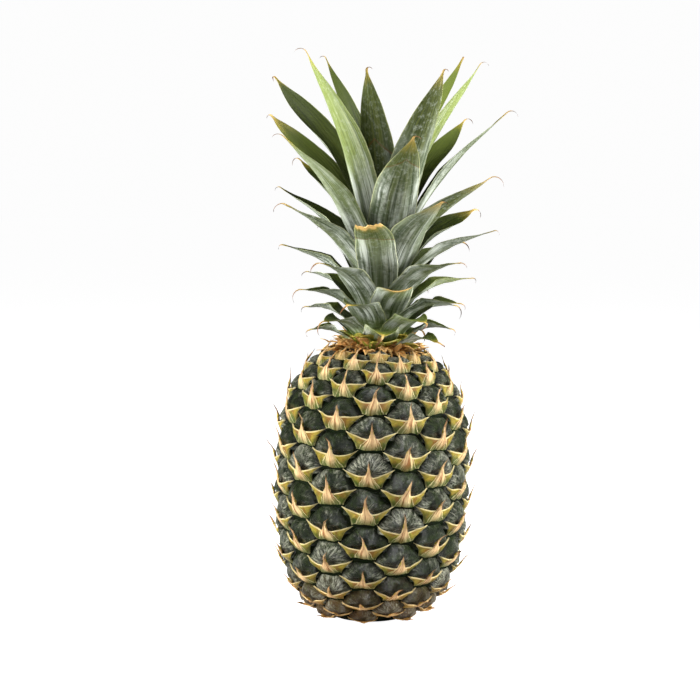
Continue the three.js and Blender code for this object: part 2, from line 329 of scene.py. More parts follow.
class Graph:
    """Adds nodes to a tree."""

    def __init__(self, tree):
        self.tree = tree

    def add(self, kind, inputs=None, output=0, **settings):
        node = self.tree.nodes.new(kind)
        for name, value in settings.items():
            setattr(node, name, value)
        for key, value in (inputs or {}).items():
            put(self.tree, node.inputs[key], value)
        return Term(self.tree, node.outputs[output])

    def also(self, term, output):
        return Term(self.tree, term.socket.node.outputs[output])

    def mix(self, factor, low, high, kind="FLOAT"):
        first, output = MIX_SOCKETS[kind]
        return self.add(
            "ShaderNodeMix", {0: factor, first: low, first + 1: high}, output, data_type=kind
        )

    def blend(self, factor, low, high):
        return self.mix(factor, low, high, "RGBA")

    def step(self, value, low, high, start=0.0, end=1.0):
        """Runs smoothly from start to end as the value goes from low to high."""
        return self.add(
            "ShaderNodeMapRange",
            {0: value, 1: low, 2: high, 3: start, 4: end},
            interpolation_type="SMOOTHSTEP",
        )

    def vector(self, operation, *values, output=0):
        return self.add(
            "ShaderNodeVectorMath", dict(enumerate(values)), output, operation=operation
        )

    def scaled(self, vector, size):
        return self.add("ShaderNodeVectorMath", {0: vector, 3: size}, operation="SCALE")

    def joined(self, x, y, z):
        return self.add("ShaderNodeCombineXYZ", {0: x, 1: y, 2: z})

    def parts(self, vector):
        first = self.add("ShaderNodeSeparateXYZ", {0: vector})
        return first, self.also(first, 1), self.also(first, 2)

    def noise(self, vector, scale, detail=2, roughness=0.5, distortion=0, output=0):
        return self.add(
            "ShaderNodeTexNoise",
            {
                "Vector": vector,
                "Scale": scale,
                "Detail": detail,
                "Roughness": roughness,
                "Distortion": distortion,
            },
            output,
        )

    def turned(self, vector, axis, angle):
        return self.add(
            "ShaderNodeVectorRotate",
            {"Vector": vector, "Axis": axis, "Angle": angle},
            rotation_type="AXIS_ANGLE",
        )

    def random(self, identity, seed, low=0.0, high=1.0):
        return self.add(
            "FunctionNodeRandomValue",
            {2: low, 3: high, "ID": identity, "Seed": seed},
            1,
            data_type="FLOAT",
        )

    def named(self, name, kind="FLOAT"):
        return self.add("GeometryNodeInputNamedAttribute", {"Name": name}, data_type=kind)

    def store(self, geometry, name, value, kind="FLOAT", domain="POINT"):
        return self.add(
            "GeometryNodeStoreNamedAttribute",
            {"Geometry": geometry, "Name": name, "Value": value},
            data_type=kind,
            domain=domain,
        )

    def use(self, group, inputs, output=0):
        node = self.tree.nodes.new("ShaderNodeGroup")
        node.node_tree = group
        for key, value in inputs.items():
            put(self.tree, node.inputs[key], value)
        return Term(self.tree, node.outputs[output])

    def grid(self, columns, rows):
        """A flat grid of points, 1 wide and 1 high."""
        sizes = {"Size X": 1, "Size Y": 1, "Vertices X": columns, "Vertices Y": rows}
        return self.add("GeometryNodeMeshGrid", sizes)

    def placed(self, geometry, place):
        return self.add("GeometryNodeSetPosition", {"Geometry": geometry, "Position": place})

    def welded(self, geometry, distance):
        inputs = {"Geometry": geometry, "Distance": distance}
        return self.add("GeometryNodeMergeByDistance", inputs)

    def close(self, out, geometry, material):
        """Ends a geometry tree: its instances made real, in one material."""
        real = self.add("GeometryNodeRealizeInstances", {"Geometry": geometry})
        skinned = self.add("GeometryNodeSetMaterial", {"Geometry": real, "Material": material})
        put(self.tree, out.inputs[0], skinned)


SOCKETS = {
    "geometry": "NodeSocketGeometry",
    "number": "NodeSocketFloat",
    "count": "NodeSocketInt",
    "vector": "NodeSocketVector",
    "colour": "NodeSocketColor",
    "object": "NodeSocketObject",
    "material": "NodeSocketMaterial",
}


def new_tree(kind, name, inputs, outputs):
    """A node tree with named sockets. Returns its graph, its inputs as terms and its output."""
    tree = bpy.data.node_groups.new(name, kind)
    for label, sort in inputs.items():
        tree.interface.new_socket(name=label, in_out="INPUT", socket_type=SOCKETS[sort])
    for label, sort in outputs.items():
        tree.interface.new_socket(name=label, in_out="OUTPUT", socket_type=SOCKETS[sort])
    given = tree.nodes.new("NodeGroupInput")
    terms = {label: Term(tree, given.outputs[label]) for label in inputs}
    return Graph(tree), terms, tree.nodes.new("NodeGroupOutput")


def grown(name, tree, values):
    """An object whose mesh a geometry tree makes from these inputs."""
    mesh = bpy.data.meshes.new(name)
    obj = bpy.data.objects.new(name, mesh)
    modifier = obj.modifiers.new(name, "NODES")
    modifier.node_group = tree
    for item in tree.interface.items_tree:
        if item.in_out == "INPUT" and item.name in values:
            modifier[item.identifier] = values[item.name]
    bpy.context.scene.collection.objects.link(obj)
    depsgraph = bpy.context.evaluated_depsgraph_get()
    made = bpy.data.meshes.new_from_object(
        obj.evaluated_get(depsgraph), preserve_all_data_layers=True, depsgraph=depsgraph
    )
    obj.modifiers.clear()
    obj.data = made
    made.name = name
    if not made.polygons:
        raise RuntimeError(name + " came out empty")
    tidy_mesh(made)
    return obj


def tidy_mesh(mesh):
    """Welds seams, turns every face outwards and shades smoothly."""
    shape = bmesh.new()
    shape.from_mesh(mesh)
    bmesh.ops.remove_doubles(shape, verts=shape.verts, dist=WELD)
    bmesh.ops.dissolve_degenerate(shape, edges=shape.edges, dist=LEAST_EDGE)
    if shape.calc_volume(signed=True) < 0:
        bmesh.ops.reverse_faces(shape, faces=shape.faces)
    for face in shape.faces:
        face.smooth = True
    shape.to_mesh(mesh)
    shape.free()
    while len(mesh.materials) > 1 and mesh.materials[0] is None:
        mesh.materials.pop(index=0)


def finished(obj, slot, *nodes):
    """Lets a piece ride on the fruit's body, and stand for the solid parts that it replaces."""
    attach(obj, "root")
    if nodes:
        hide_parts(*nodes)
    return obj


def template(name, vertices, faces, cells):
    """A hidden mesh that the eyes or the collar repeat. Each point keeps its place in the cell."""
    mesh = bpy.data.meshes.new(name)
    mesh.from_pydata(vertices, [], faces)
    layer = mesh.attributes.new("cell", "FLOAT_VECTOR", "POINT")
    for point, cell in zip(layer.data, cells):
        point.vector = cell
    return bpy.data.objects.new(name, mesh)


def shell(columns, rows, front, back):
    """The points and faces of a closed shell: one grid on its front and one on its back."""
    points = [f(c, r) for f in (front, back) for r in range(rows) for c in range(columns)]
    faces = []
    under = columns * rows
    for r in range(rows - 1):
        for c in range(columns - 1):
            a = r * columns + c
            faces.append((a, a + 1, a + 1 + columns, a + columns))
            faces.append((under + a, under + a + columns, under + a + columns + 1, under + a + 1))
    rim = list(range(columns))
    rim += [r * columns + columns - 1 for r in range(1, rows)]
    rim += [(rows - 1) * columns + c for c in range(columns - 2, -1, -1)]
    rim += [r * columns for r in range(rows - 2, 0, -1)]
    for i, a in enumerate(rim):
        b = rim[(i + 1) % len(rim)]
        faces.append((b, a, under + a, under + b))
    return points, faces


def lerp(low, high, at):
    """The value at a share of the way from low to high."""
    return low + (high - low) * at


def smooth(value, low, high):
    """Runs smoothly from 0 to 1 as the value goes from low to high."""
    at = min(1, max(0, (value - low) / (high - low)))
    return at * at * (3 - 2 * at)


# ---- The barrel ------------------------------------------------------------------------------


def outline_points(fruit):
    """The barrel's outline from the foot's edge to the neck's edge, in its own upright plane."""

    def half_height(reach, end):
        return reach / (1 - (end / fruit.radius) ** ROUNDNESS) ** (1 / ROUNDNESS)

    lower = half_height(fruit.belly, fruit.foot)
    upper = half_height(fruit.height - fruit.belly, fruit.neck)
    points = []
    for i in range(OUTLINE_STEPS + 1):
        z = fruit.height * (1 - math.cos(math.pi * i / OUTLINE_STEPS)) / 2
        part = abs(z - fruit.belly) / (upper if z > fruit.belly else lower)
        points.append((fruit.radius * (1 - part**ROUNDNESS) ** (1 / ROUNDNESS), 0, z))
    return points


def profile_curve(name, points):
    data = bpy.data.curves.new(name, "CURVE")
    data.dimensions = "3D"
    line = data.splines.new("POLY")
    line.points.add(len(points) - 1)
    for place, point in zip(line.points, points):
        place.co = (*point, 1)
    return bpy.data.objects.new(name, data)


BARREL_INPUTS = {"Outline": "object", "Height": "number", "Lean": "number", "Material": "material"}
EYE_INPUTS = {
    **BARREL_INPUTS,
    "Template": "object",
    "Wobble": "number",
    "Spike Reach": "number",
    "Radius": "number",
    "Rings": "count",
    "Eyes Round": "count",
    "First Turn": "number",
    "Ring Twist": "number",
    "Seed": "count",
}
EYE_TREE = "Eyes on a barrel"
EYE_SEED = 5
OUTLINE_STEPS = 96
SKIN_GRID = (97, 181)

# How far an eye's points wander across, up and out, how finely its surface crumples, how far its
# spike sways and shortens, and how far the spike's tip is lifted at least and at most.
WANDER_ACROSS = 0.75
WANDER_UP = 0.34
WANDER_OUT = 2.4
CRUMPLE_OUT = 1.6
SPIKE_SWAY = 1.2
SPIKE_SHORTENING = 0.55
SPIKE_LIFTS = (-0.6, 2.6)


def barrel_values(fruit, outline, material):
    return {"Outline": outline, "Height": fruit.height, "Lean": fruit.lean, "Material": material}


def sampled(g, outline, factor):
    """The outline's radius, height and direction at a share of its length."""
    curve = g.add("GeometryNodeObjectInfo", {"Object": outline}, 4)
    at = g.add("GeometryNodeSampleCurve", {"Curves": curve, "Factor": factor}, 1, mode="FACTOR")
    radius, _, height = g.parts(at)
    along_x, _, along_z = g.parts(g.also(at, 2))
    return radius, height, along_x, along_z


def bent(g, given, x, y, z):
    """Bends a straight barrel: its axis becomes a shallow arc, and level sections tilt with it."""
    pull = given["Lean"] / (given["Height"] * given["Height"])
    return g.joined(x + pull * z * z, y, z - x * z * pull * 2)


def groove_tree():
    """The skin under the eyes: the outline, with its hollow foot, turned about the axis."""
    g, given, out = new_tree("GeometryNodeTree", "Barrel skin", BARREL_INPUTS, {"Mesh": "geometry"})
    grid = g.grid(*SKIN_GRID)
    x, y, _ = g.parts(g.add("GeometryNodeInputPosition"))
    radius, height, _, _ = sampled(g, given["Outline"], y + 0.5)
    angle = x * (2 * math.pi)
    place = bent(g, given, radius * angle.math("COSINE"), radius * angle.math("SINE"), height)
    shape = g.placed(grid, place)
    shape = g.welded(shape, 1e-6)
    g.close(out, shape, given["Material"])
    return g.tree


def eye_tree():
    """Repeats one eye's template over the rings and wraps the sheet of eyes round the barrel.

    The sheet's x counts columns round the fruit and its y counts rings. Its z stands out of the
    grooves.
    """
    g, given, out = new_tree("GeometryNodeTree", EYE_TREE, EYE_INPUTS, {"Mesh": "geometry"})
    around = given["Eyes Round"]
    line = g.add("GeometryNodeMeshLine", {"Count": (given["Rings"] - 1) * around})
    index = g.add("GeometryNodeInputIndex")
    ring = (index / around).math("FLOOR") + 1
    start = ring.math("MODULO", 2) * ODD_RING_COLUMN
    column = index.math("MODULO", around) * COLUMNS_PER_EYE + start
    line = g.placed(line, g.joined(column, ring, 0.0))
    eye = g.add("GeometryNodeObjectInfo", {"Object": given["Template"]}, 4)
    eyes = g.add("GeometryNodeInstanceOnPoints", {"Points": line, "Instance": eye})
    for offset, name in enumerate(("eye", "slant", "reach")):
        eyes = g.store(eyes, name, g.random(index, given["Seed"] + offset), domain="INSTANCE")
    eyes = g.store(eyes, "ring", ring, domain="INSTANCE")
    sheet = g.add("GeometryNodeRealizeInstances", {"Geometry": eyes})

    place = g.add("GeometryNodeInputPosition")
    x, y, z = g.parts(place)
    _, up, _ = g.parts(g.named("cell", "FLOAT_VECTOR"))
    spike = g.step(up, 0.05, 1.1)
    slant = g.named("slant")
    reach = g.named("reach")
    eye_number = g.named("eye")
    wobble = given["Wobble"]
    loose = g.joined(x, y, eye_number * 7)
    waver = g.noise(g.scaled(loose, 0.75), 1.0, 1, output=1)
    waver_x, waver_y, waver_z = g.parts(g.vector("SUBTRACT", waver, (0.5, 0.5, 0.5)))
    crumple = g.noise(g.scaled(loose, 2.6), 1.0, 2) - 0.5
    spikes = given["Spike Reach"]
    least, most = SPIKE_LIFTS
    x = x + waver_x * wobble * WANDER_ACROSS
    x = x + spike * spike * (slant - 0.5) * SPIKE_SWAY * spikes
    y = y + waver_y * wobble * WANDER_UP - spike * reach * reach * SPIKE_SHORTENING * spikes
    z = z + (waver_z * WANDER_OUT * MM + crumple * CRUMPLE_OUT * MM) * wobble
    z = z + spike * (slant * (most - least) + least) * MM * spikes

    crowding = RING_CROWDING * math.pi / 2
    level = ((y * 2 / given["Rings"] - 1) * crowding).math("SINE")
    part = (level / math.sin(crowding) + 1) * (0.5 * (1 - FOOT_RIM)) + FOOT_RIM
    radius, height, along_x, along_z = sampled(g, given["Outline"], part)
    z = z * (radius / given["Radius"] * 0.55 + 0.45)
    out_radius = radius + along_z * z
    height = height - along_x * z
    turn = given["First Turn"] + given["Ring Twist"] * (y - given["Rings"] / 2) - math.pi / 2
    angle = x * (2 * math.pi / COLUMNS_PER_EYE) / around + turn
    height = height.math("MAXIMUM", 0.0)
    x = out_radius * angle.math("COSINE")
    y = out_radius * angle.math("SINE")
    shape = g.placed(sheet, bent(g, given, x, y, height))
    g.close(out, shape, given["Material"])
    return g.tree


# ---- One eye ---------------------------------------------------------------------------------

# An eye is drawn in columns (a) and rings (b) about its middle. The bract's columns crowd towards
# its spike, it widens from one half width to the other, and its upper edge dips in the middle.
BRACT_SPREAD = (0, 0.045, 0.12, 0.24, 0.42, 0.75, 1.15, 1.55, 2.0)
BRACT_ROWS = 9
BRACT_HALF_WIDTHS = (1.12, 2.06)
BRACT_FOOT = -0.98
BRACT_SINK = 1.2 * MM
LIP_TOP = 0.16
LIP_DIP = 0.36
LIP_CURVE = 1.7
SPIKE_HALF_WIDTH = 0.36
SPIKE_SHARPNESS = 2.9

# The dome reaches from its foot to its top in rings, and narrows from one half width to the other.
# A slit on each side of the spike's foot and a valley above it are pressed into it.
DOME_GRID = (15, 11)
DOME_REACH = (-0.3, 1.06)
DOME_HALF_WIDTHS = (1.98, 0.92)
DOME_SINK = 0.9 * MM
DOME_BACK = -1.3 * MM
SLIT_DEPTH = 1.9 * MM
VALLEY_DEPTH = 1.5 * MM
VALLEY_WIDTH = 0.26


def bract_template(eyes):
    """The leaf-like bract under an eye: a lip with two wings, and a spike in its middle."""
    half = len(BRACT_SPREAD) - 1

    def outline(c, r):
        v = r / (BRACT_ROWS - 1)
        spread = BRACT_SPREAD[abs(c - half)] * (1 if c > half else -1)
        a = spread / 2 * lerp(*BRACT_HALF_WIDTHS, v**1.8)
        top = LIP_TOP - LIP_DIP * (1 - (abs(spread) / 2) ** LIP_CURVE)
        spike = max(0, 1 - abs(spread) / SPIKE_HALF_WIDTH) ** SPIKE_SHARPNESS
        top += (eyes.spike + 0.12) * spike
        bottom = BRACT_FOOT + 0.16 * (spread / 2) ** 2
        return a, lerp(bottom, top, v)

    def height(a, b):
        t = min(1, max(0, b + 0.96))
        rise = -BRACT_SINK + (eyes.lip + BRACT_SINK) * (1 - (1 - t) ** 1.35)
        rise *= 1 - 0.6 * (abs(a) / 2) ** 1.6
        fan = 0.1 + 0.8 * min(1, max(0, 0.1 - b))
        rise += 0.55 * MM * (1 - smooth(abs(a), fan * 0.6, fan * 1.2)) * smooth(t, 0, 0.3)
        return rise + eyes.spike_lift * max(0, b / 1.1) ** 2.2

    def front(c, r):
        a, b = outline(c, r)
        return a, b, height(a, b)

    def back(c, r):
        a, b = outline(c, r)
        edge = eyes.thickness * lerp(1, 0.35, smooth(b, 0.1, 1.0))
        return a * 0.985, b - 0.012, height(a, b) - edge - BRACT_SINK * (1 - smooth(b, -0.9, 0.0))

    points, faces = shell(2 * half + 1, BRACT_ROWS, front, back)
    return template("bract_template", points, faces, points)


def dome_template(eyes):
    """The rounded top of an eye, with a slit on each side of the spike's foot."""
    columns, rows = DOME_GRID

    def front(c, r):
        x = math.sin(math.pi / 2 * (2 * c / (columns - 1) - 1))
        y = 1 - (1 - r / (rows - 1)) ** 1.25
        b = lerp(*DOME_REACH, y)
        a = x * lerp(*DOME_HALF_WIDTHS, min(1, max(0, b)) ** 1.5)
        round_across = max(0, 1 - abs(x) ** 2.6) ** 0.6
        round_up = max(0, 1 - y**3.2) ** 0.55
        rise = -DOME_SINK + (eyes.dome + DOME_SINK) * round_across * round_up
        beside = smooth(abs(a), 0.1, 0.35) * (1 - smooth(abs(a), 0.9, 1.5))
        rise -= SLIT_DEPTH * (1 - smooth(b, 0.02, 0.2)) * beside
        rise -= VALLEY_DEPTH * math.exp(-((a / VALLEY_WIDTH) ** 2)) * (1 - smooth(b, 0.25, 0.95))
        return a, b, rise

    def back(c, r):
        a, b, _ = front(c, r)
        return a * 0.98, b, DOME_BACK

    points, faces = shell(columns, rows, front, back)
    return template("dome_template", points, faces, points)


# ---- The crown's leaves ----------------------------------------------------------------------


MIDRIB_PULL = 0.35


def scatter(index, kind):
    """An even scatter from -0.5 to 0.5, for the small differences between leaves."""
    return ((index * 0.7549 + kind * 0.5698) % 1) - 0.5


def leaf_rule(index, crown):
    """The rule that gives each leaf its shape, from the lowest (0) to the innermost."""
    age = index / (crown.leaves - 1)
    growth = min(1, age / 0.8) ** 1.7 * (1 - 0.6 * smooth(age, 0.86, 0.98))
    width = lerp(*LEAF_WIDTHS, math.sin(math.pi * age) ** 0.8) + 2 * MM * scatter(index, 2)
    leaf = {
        "turn": FIRST_LEAF_TURN - index * math.degrees(crown.leaf_turn),
        "aside": 0,
        "height": lerp(*LEAF_HEIGHTS, age**1.15),
        "length": lerp(*LEAF_LENGTHS, growth) * (1 + 0.1 * scatter(index, 1)) / MM,
        "width": width / MM,
        "start": lerp(*LEAF_STARTS, age**0.6),
        "lean": lerp(*LEAF_LEANS, age**1.35) + 3 * scatter(index, 3) * (1 - age),
        "sway": 0.08 * scatter(index, 4),
        "twist": 24 * scatter(index, 5),
        "kept": 1,
        "hook": (crown.hook / MM) * (1 + 0.9 * scatter(index, 6)),
        "hook_turn": 120 * scatter(index, 7),
        "dry": 0.03 + 0.04 * (scatter(index, 8) + 0.5) + 0.06 * (1 - age),
        "olive": 0.35 + 0.5 * scatter(index, 9),
        "fresh": 0.35 * smooth(scatter(index, 10), 0.1, 0.5),
        "imprint": 0,
        "age": age,
    }
    leaf.update(ODD_LEAVES.get(index, {}))
    leaf.update(LEAF_LOOKS.get(index, {}))
    leaf["finish"] = leaf["lean"] + lerp(*LEAF_CURLS, age)
    return leaf


def midrib(leaf):
    """The four points of the leaf's midrib: x away from the axis, z up the axis."""

    def away(angle, reach):
        return Vector((math.sin(math.radians(angle)), 0, math.cos(math.radians(angle)))) * reach

    reach = leaf["length"] * MM
    stem_radius = lerp(*STEM_RADII, leaf["height"] / STEM_LENGTH)
    foot = Vector((stem_radius + FOOT_CLEARANCE, 0, leaf["height"]))
    tip = foot + away(leaf["lean"], reach)
    tip.y = leaf["sway"] * reach
    rise = foot + away(leaf["start"], MIDRIB_PULL * reach)
    droop = tip - away(leaf["finish"], MIDRIB_PULL * reach)
    return foot, rise, droop, tip


# A blade is drawn from its foot at 0 to the start of its dry hook, and the hook from there to 1. At
# its foot it clasps the stem, up to an angle on each side, and further up it is a channel whose
# radius is a share of its width. A broken leaf is kept only in part, and ends in a tear.
BLADE_GRID = (29, 57)
HOOK_START = 0.9
HOOK_BEND = math.radians(130)
NEEDLE_HALF_WIDTH = 0.75 * MM
FOOT_THICKNESS = 0.5 * MM
CLASP_ANGLE = math.radians(52)
CHANNEL_RADIUS = 0.62
TEAR_DEPTH = 0.16
WHOLE = 0.999
BLADE_INPUTS = {
    "Foot": "vector",
    "Rise": "vector",
    "Droop": "vector",
    "Tip": "vector",
    "Width": "number",
    "Kept": "number",
    "Twist": "number",
    "Thickness": "number",
    "Tip Thickness": "number",
    "Hook": "number",
    "Hook Turn": "number",
    "Ripple": "number",
    "Turn": "number",
    "Crown Place": "vector",
    "Crown Tilt": "number",
    "Seed": "number",
    "Dry": "number",
    "Olive": "number",
    "Fresh": "number",
    "Imprint": "number",
    "Age": "number",
    "Material": "material",
}


def blade_tree():
    """One leaf: a channelled blade that clasps the stem at its foot and ends in a thin dry hook.

    A closed grid is wrapped round the blade's section and drawn out along its midrib.
    """
    g, given, out = new_tree("GeometryNodeTree", "Leaf blade", BLADE_INPUTS, {"Mesh": "geometry"})
    grid = g.grid(*BLADE_GRID)
    rib = g.add(
        "GeometryNodeCurvePrimitiveBezierSegment",
        {
            "Resolution": 64,
            "Start": given["Foot"],
            "Start Handle": given["Rise"],
            "End Handle": given["Droop"],
            "End": given["Tip"],
        },
    )
    x, y, _ = g.parts(g.add("GeometryNodeInputPosition"))
    around = x + 0.5
    inner = around.math("GREATER_THAN", 0.5)
    across = ((1 - abs(around * 4 - 2)) * (math.pi / 2)).math("SINE")
    drawn = y + 0.5
    past_tip = ((drawn - HOOK_START) * (1 / (1 - HOOK_START))).clamped()
    broken = given["Kept"].math("LESS_THAN", WHOLE)
    torn = g.noise(g.joined(across * 2.2, given["Seed"], 0.0), 1.6, 3) - 0.5
    at_share = (drawn / HOOK_START).math("MINIMUM", 1) * given["Kept"]
    tear = torn * TEAR_DEPTH * broken * g.step(drawn, 0.55, HOOK_START)
    at_share = (at_share + tear).clamped()
    at = g.add("GeometryNodeSampleCurve", {"Curves": rib, "Factor": at_share}, 1, mode="FACTOR")
    along = g.vector("NORMALIZE", g.also(at, 2))
    at_x, _, _ = g.parts(at)
    _, _, along_z = g.parts(along)
    side = g.turned((0.0, 1.0, 0.0), along, given["Twist"] * g.step(at_share, 0.4, 1.0))
    inward = g.vector("NORMALIZE", g.vector("CROSS_PRODUCT", along, side))

    clasp = at_x / along_z.math("MAXIMUM", 0.3)
    channel = clasp.math("MINIMUM", given["Width"] * CHANNEL_RADIUS)
    radius = g.mix(g.step(at_share, 0.1, 0.55), clasp, channel)
    past = ((at_share - 0.3) / 0.7).math("MAXIMUM", 0.0)
    taper = (1 - past**2.5) * g.step(at_share, 0.0, 0.3, 0.86, 1.0)
    edge_noise = g.noise(g.joined(at_share * 9, given["Seed"], across), 1.0, 2) - 0.5
    half = given["Width"] * 0.5 * taper * (1 + edge_noise * 0.1)
    needle = (1 - past_tip**2) * NEEDLE_HALF_WIDTH * (1 - broken)
    half = half.math("MAXIMUM", needle).math("MINIMUM", radius * math.sin(CLASP_ANGLE))
    angle = across * (half / radius).math("ARCSINE")
    blade = g.mix(at_share, given["Thickness"], given["Tip Thickness"])
    thickness = g.mix(g.step(at_share, 0.0, 0.35), FOOT_THICKNESS, blade)
    closing = g.step(at_share, 0.0, 0.012) * (1 - past_tip)
    thickness = thickness * closing * (1 - across * across * 0.999)
    ripple = g.noise(g.joined(at_share * 5, across * 0.7, given["Seed"] * 3), 1.0, 2) - 0.5
    lift = radius * (1 - angle.math("COSINE")) + inner * thickness
    lift = lift + ripple * given["Ripple"] * 2 * g.step(at_share, 0.25, 0.7)

    hooked = g.turned(g.scaled(inward, -1.0), along, given["Hook Turn"])
    bow = past_tip * HOOK_BEND
    bow_radius = given["Hook"] / HOOK_BEND
    place = g.vector("ADD", at, g.scaled(along, bow.math("SINE") * bow_radius))
    place = g.vector("ADD", place, g.scaled(hooked, (1 - bow.math("COSINE")) * bow_radius))
    place = g.vector("ADD", place, g.scaled(side, radius * angle.math("SINE")))
    place = g.vector("ADD", place, g.scaled(inward, lift))
    place = g.turned(place, (0.0, 0.0, 1.0), given["Turn"])
    place = g.turned(place, (0.0, 1.0, 0.0), given["Crown Tilt"])
    place = g.vector("ADD", place, given["Crown Place"])

    shape = g.store(grid, "blade", g.joined(across, drawn, at_share), "FLOAT_VECTOR")
    shape = g.store(shape, "inner", inner)
    shape = g.store(shape, "torn", broken * g.step(drawn, 0.78, HOOK_START))
    for name in ("Seed", "Dry", "Olive", "Fresh", "Imprint", "Age"):
        shape = g.store(shape, name.lower(), given[name])
    shape = g.placed(shape, place)
    shape = g.welded(shape, WELD)
    g.close(out, shape, given["Material"])
    return g.tree


# ---- The collar ------------------------------------------------------------------------------

WHORL_INPUTS = {
    "Template": "object",
    "Count": "count",
    "Radius": "number",
    "Low": "number",
    "High": "number",
    "Shortest": "number",
    "Longest": "number",
    "Width": "number",
    "Least Tilt": "number",
    "Most Tilt": "number",
    "Crumple": "number",
    "Crown Place": "vector",
    "Crown Tilt": "number",
    "Seed": "count",
    "Material": "material",
}


def whorl_tree():
    """Scales, fibres or leaflets that stand in a spiral round the neck."""
    g, given, out = new_tree("GeometryNodeTree", "Whorl", WHORL_INPUTS, {"Mesh": "geometry"})
    line = g.add("GeometryNodeMeshLine", {"Count": given["Count"]})
    index = g.add("GeometryNodeInputIndex")
    seed = given["Seed"]
    turn = index * math.radians(LEAF_TURN) + g.random(index, seed, -0.25, 0.25)
    level = index / given["Count"]
    radius = given["Radius"] * (1 - level * 0.16 + g.random(index, seed + 1, -0.06, 0.06))
    height = g.mix(level, given["Low"], given["High"])
    spot = g.joined(radius * turn.math("COSINE"), radius * turn.math("SINE"), height)
    line = g.placed(line, spot)
    tilt = g.mix(g.random(index, seed + 2), given["Least Tilt"], given["Most Tilt"])
    roll = g.random(index, seed + 3, -0.45, 0.45)
    size = g.mix(g.random(index, seed + 4), given["Shortest"], given["Longest"])
    width = given["Width"] * g.random(index, seed + 5, 0.7, 1.25)
    rotation = g.add("FunctionNodeEulerToRotation", {0: g.joined(roll, tilt, turn)})
    blade = g.add("GeometryNodeObjectInfo", {"Object": given["Template"]}, 4)
    scale = g.joined(size, width, size)
    blades = g.add(
        "GeometryNodeInstanceOnPoints",
        {"Points": line, "Instance": blade, "Rotation": rotation, "Scale": scale},
    )
    blades = g.store(blades, "seed", g.random(index, seed + 6), domain="INSTANCE")
    sheet = g.add("GeometryNodeRealizeInstances", {"Geometry": blades})
    place = g.add("GeometryNodeInputPosition")
    _, up, _ = g.parts(g.named("cell", "FLOAT_VECTOR"))
    shaken = g.vector("ADD", place, g.scaled(g.joined(0.0, 0.0, g.named("seed")), 3.0))
    crumple = g.vector("SUBTRACT", g.noise(shaken, 120.0, 2, output=1), (0.5, 0.5, 0.5))
    place = g.vector("ADD", place, g.scaled(crumple, given["Crumple"] * up))
    place = g.turned(place, (0.0, 1.0, 0.0), given["Crown Tilt"])
    place = g.vector("ADD", place, given["Crown Place"])
    shape = g.placed(sheet, place)
    g.close(out, shape, given["Material"])
    return g.tree


def scale_template(name, columns, rows, curl, shoulder, thickness):
    """A short pointed blade of length and width 1 that stands along z and curls towards x."""

    def front(c, r):
        v = r / (rows - 1)
        across = 2 * c / (columns - 1) - 1
        half = 0.5 * (1 - v**shoulder) * (0.75 + 0.25 * smooth(v, 0, 0.3)) + 0.01
        bow = 0.16 * across * across * (1 - v)
        return curl * v**2.2 - bow, across * half, v * (1 - 0.25 * curl * v)

    def back(c, r):
        x, y, z = front(c, r)
        return x - thickness, y * 0.96, z

    points, faces = shell(columns, rows, front, back)
    cells = [
        (2 * (i % columns) / (columns - 1) - 1, (i // columns % rows) / (rows - 1), 0)
        for i in range(len(points))
    ]
    return template(name, points, faces, cells)


# ---- Materials -------------------------------------------------------------------------------


def fibre_group():
    """Fine lines that run along y: a mask from 0 to 1."""
    inputs = {"Vector": "vector", "Density": "number", "Length": "number"}
    g, given, out = new_tree("ShaderNodeTree", "Fibre lines", inputs, {"Lines": "number"})
    x, y, z = g.parts(given["Vector"])
    stretched = g.joined(x * given["Density"], y * given["Length"], z)
    fine = g.noise(stretched, 1.0, 3, 0.6, 0.2)
    put(g.tree, out.inputs[0], g.step(fine, 0.32, 0.68))
    return g.tree


def bloom_group():
    """Patchy wax: a mask from 0 to 1 that wears off in spots and streaks."""
    inputs = {"Vector": "vector", "Scale": "number", "Amount": "number"}
    g, given, out = new_tree("ShaderNodeTree", "Waxy bloom", inputs, {"Mask": "number"})
    broad = g.noise(given["Vector"], given["Scale"], 2, 0.5)
    fine = g.noise(given["Vector"], given["Scale"] * 5, 3, 0.65)
    patchy = broad * 0.65 + fine * 0.35
    low = 0.72 - given["Amount"] * 0.45
    put(g.tree, out.inputs[0], g.step(patchy, low, low + 0.22))
    return g.tree


def mottle_group():
    """Two colours mixed in soft spots."""
    inputs = {"Vector": "vector", "Scale": "number", "First": "colour", "Second": "colour"}
    g, given, out = new_tree("ShaderNodeTree", "Mottle", inputs, {"Color": "colour"})
    spots = g.noise(given["Vector"], given["Scale"], 4, 0.6, 0.4)
    put(g.tree, out.inputs[0], g.blend(g.step(spots, 0.38, 0.62), given["First"], given["Second"]))
    return g.tree


def shared(name, make):
    """A node group by its name, made the first time that it is asked for."""
    return bpy.data.node_groups.get(name) or make()


def fibre_lines(g, vector, density, length):
    group = shared("Fibre lines", fibre_group)
    return g.use(group, {"Vector": vector, "Density": density, "Length": length})


def waxy_bloom(g, vector, scale, amount):
    group = shared("Waxy bloom", bloom_group)
    return g.use(group, {"Vector": vector, "Scale": scale, "Amount": amount})


def mottle(g, vector, scale, first, second):
    group = shared("Mottle", mottle_group)
    return g.use(group, {"Vector": vector, "Scale": scale, "First": first, "Second": second})


def new_material(name, roughness, specular=0.5):
    """A material with a Principled shader. Returns it, its graph and the shader."""
    material = bpy.data.materials.new(name)
    material.use_nodes = True
    shader = material.node_tree.nodes["Principled BSDF"]
    shader.inputs["Roughness"].default_value = roughness
    shader.inputs["Specular IOR Level"].default_value = specular
    return material, Graph(material.node_tree), shader


def attribute(g, name, output=2):
    return g.add("ShaderNodeAttribute", output=output, attribute_name=name)


def object_coordinates(g):
    return g.add("ShaderNodeTexCoord", output=3)


